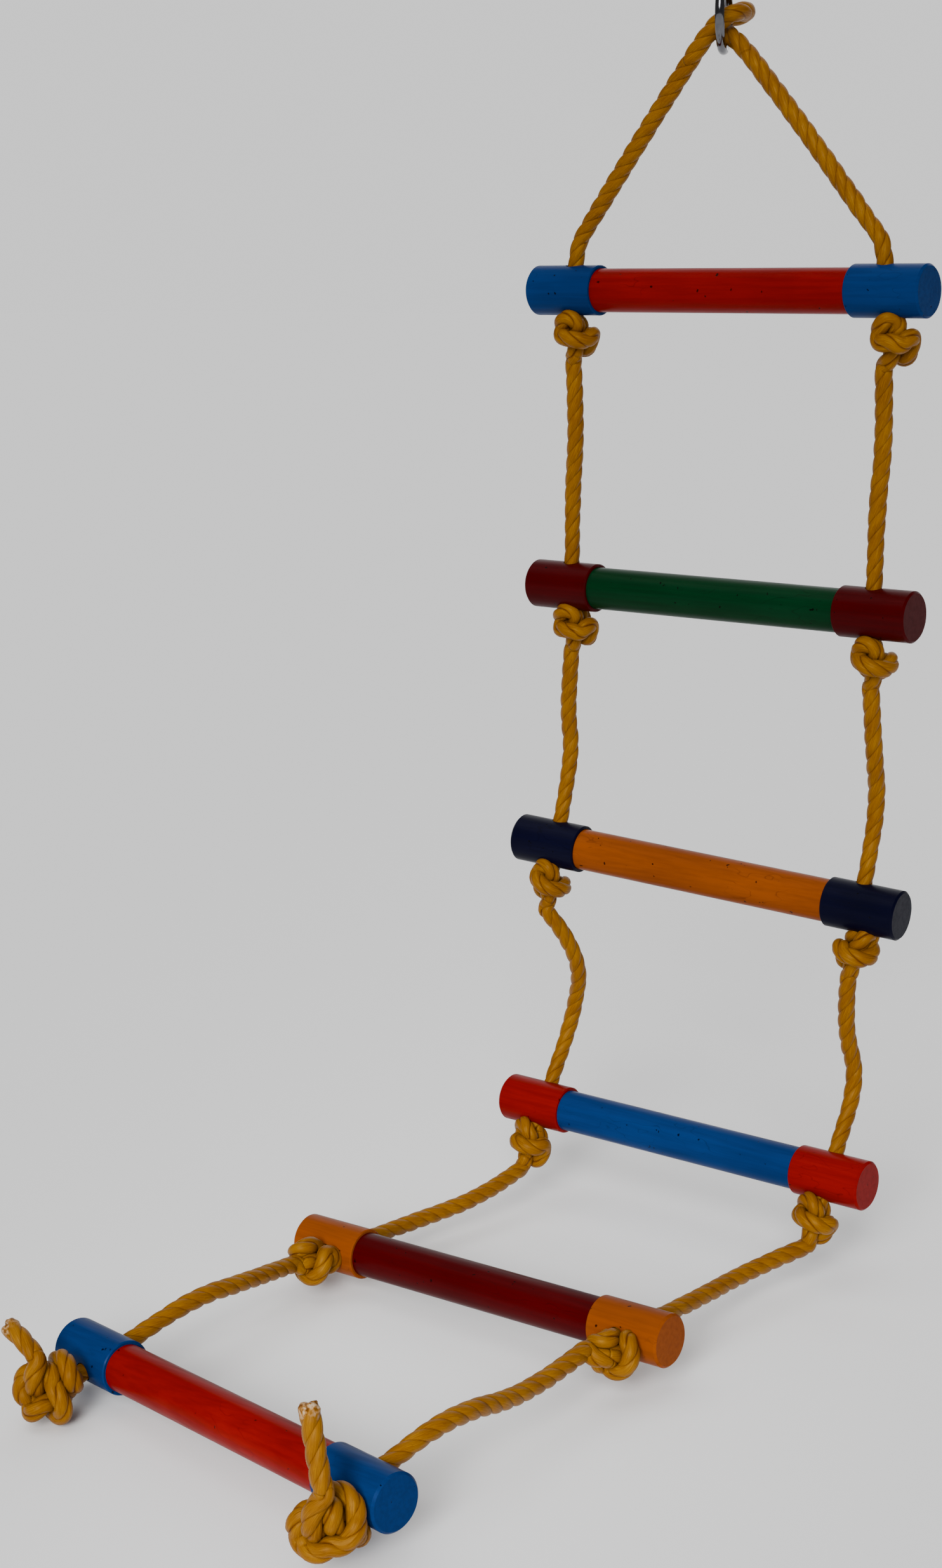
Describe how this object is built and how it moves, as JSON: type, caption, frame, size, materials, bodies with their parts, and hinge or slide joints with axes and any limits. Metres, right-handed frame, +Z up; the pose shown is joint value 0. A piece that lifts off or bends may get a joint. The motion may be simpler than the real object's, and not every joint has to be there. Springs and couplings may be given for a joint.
{
  "type": "escape rope ladder",
  "caption": "Hanging rope ladder of painted wooden rungs with sleeved ends, each held on two laid ropes by overhand knots, hung from a steel ring.",
  "frame": {"origin": "centre of the ring's eye, where the anchor's hook holds the ladder", "axes": "+X along the rungs towards their right ends as the climber sees them, +Y away from the climber, +Z up; the rest pose has the upper four rungs hanging and the lower two lying on the floor towards -Y"},
  "size_m": [0.4548, 0.7455, 1.1508],
  "materials": {
    "paint_blue": "satin enamel paint",
    "paint_red": "satin enamel paint",
    "paint_maroon": "satin enamel paint",
    "paint_green": "satin enamel paint",
    "paint_navy": "satin enamel paint",
    "paint_orange": "satin enamel paint",
    "rope_yellow": "laid fibre rope, three strands",
    "ring_steel": "polished"
  },
  "bodies": {
    "ring": {"ring": "ring_steel"},
    "bridle": {"ring_hitch": "rope_yellow", "leg_left": "rope_yellow", "leg_right": "rope_yellow", "rung_1_dowel": "paint_red", "rung_1_barrel_left": "paint_blue", "rung_1_barrel_right": "paint_blue", "knot_1_left": "rope_yellow", "knot_1_right": "rope_yellow"},
    "bay_2": {"rope_2_left": "rope_yellow", "rope_2_right": "rope_yellow", "knot_2_left": "rope_yellow", "knot_2_right": "rope_yellow"},
    "bay_3": {"rope_3_left": "rope_yellow", "rope_3_right": "rope_yellow", "knot_3_left": "rope_yellow", "knot_3_right": "rope_yellow"},
    "bay_4": {"rope_4_left": "rope_yellow", "rope_4_right": "rope_yellow", "knot_4_left": "rope_yellow", "knot_4_right": "rope_yellow"},
    "bay_5": {"rope_5_left": "rope_yellow", "rope_5_right": "rope_yellow", "knot_5_left": "rope_yellow", "knot_5_right": "rope_yellow"},
    "bay_6": {"rope_6_left": "rope_yellow", "rope_6_right": "rope_yellow", "knot_6_left": "rope_yellow", "knot_6_right": "rope_yellow", "tail_left": "rope_yellow", "tail_right": "rope_yellow"},
    "rung_2": {"rung_2_dowel": "paint_green", "rung_2_barrel_left": "paint_maroon", "rung_2_barrel_right": "paint_maroon"},
    "rung_3": {"rung_3_dowel": "paint_orange", "rung_3_barrel_left": "paint_navy", "rung_3_barrel_right": "paint_navy"},
    "rung_4": {"rung_4_dowel": "paint_blue", "rung_4_barrel_left": "paint_red", "rung_4_barrel_right": "paint_red"},
    "rung_5": {"rung_5_dowel": "paint_maroon", "rung_5_barrel_left": "paint_orange", "rung_5_barrel_right": "paint_orange"},
    "rung_6": {"rung_6_dowel": "paint_red", "rung_6_barrel_left": "paint_blue", "rung_6_barrel_right": "paint_blue"}
  },
  "joints": [
    {"name": "ladder_swing", "type": "hinge", "parent": "ring", "child": "bridle", "pos_m": [0, 0, 0], "axis": [0.9063, 0.4226, 0], "range_deg": [-60, 60]},
    {"name": "bay_2_swing", "type": "hinge", "parent": "bridle", "child": "bay_2", "pos_m": [0.005, 0, -0.2964], "axis": [1, 0, 0], "range_deg": [-75, 75]},
    {"name": "bay_3_swing", "type": "hinge", "parent": "bay_2", "child": "bay_3", "pos_m": [-0.004, 0.013, -0.5694], "axis": [-1, 0, 0], "range_deg": [-75, 75]},
    {"name": "bay_4_swing", "type": "hinge", "parent": "bay_3", "child": "bay_4", "pos_m": [-0.01639, 0.0022, -0.82588], "axis": [0.9962, 0.0697, -0.0523], "range_deg": [-72, 42]},
    {"name": "bay_5_swing", "type": "hinge", "parent": "bay_4", "child": "bay_5", "pos_m": [-0.022, -0.03666, -1.07246], "axis": [-1, 0, 0], "range_deg": [-105, 30]},
    {"name": "bay_6_swing", "type": "hinge", "parent": "bay_5", "child": "bay_6", "pos_m": [-0.0443, -0.35023, -1.07044], "axis": [0.9992, -0.0174, 0.0349], "range_deg": [-70, 70]},
    {"name": "rung_2_slide", "type": "slide", "parent": "bay_2", "child": "rung_2", "axis": [0, 0, 1], "range_m": [0, 0.03]},
    {"name": "rung_3_slide", "type": "slide", "parent": "bay_3", "child": "rung_3", "axis": [0.0366, 0.211, 0.9768], "range_m": [0, 0.03]},
    {"name": "rung_4_slide", "type": "slide", "parent": "bay_4", "child": "rung_4", "axis": [0, 0.5299, 0.848], "range_m": [0, 0.03]},
    {"name": "rung_5_slide", "type": "slide", "parent": "bay_5", "child": "rung_5", "axis": [0.0198, 0.9974, -0.0697], "range_m": [0, 0.03]},
    {"name": "rung_6_slide", "type": "slide", "parent": "bay_6", "child": "rung_6", "axis": [0.1422, 0.9554, 0.2587], "range_m": [0, 0.03]}
  ]
}
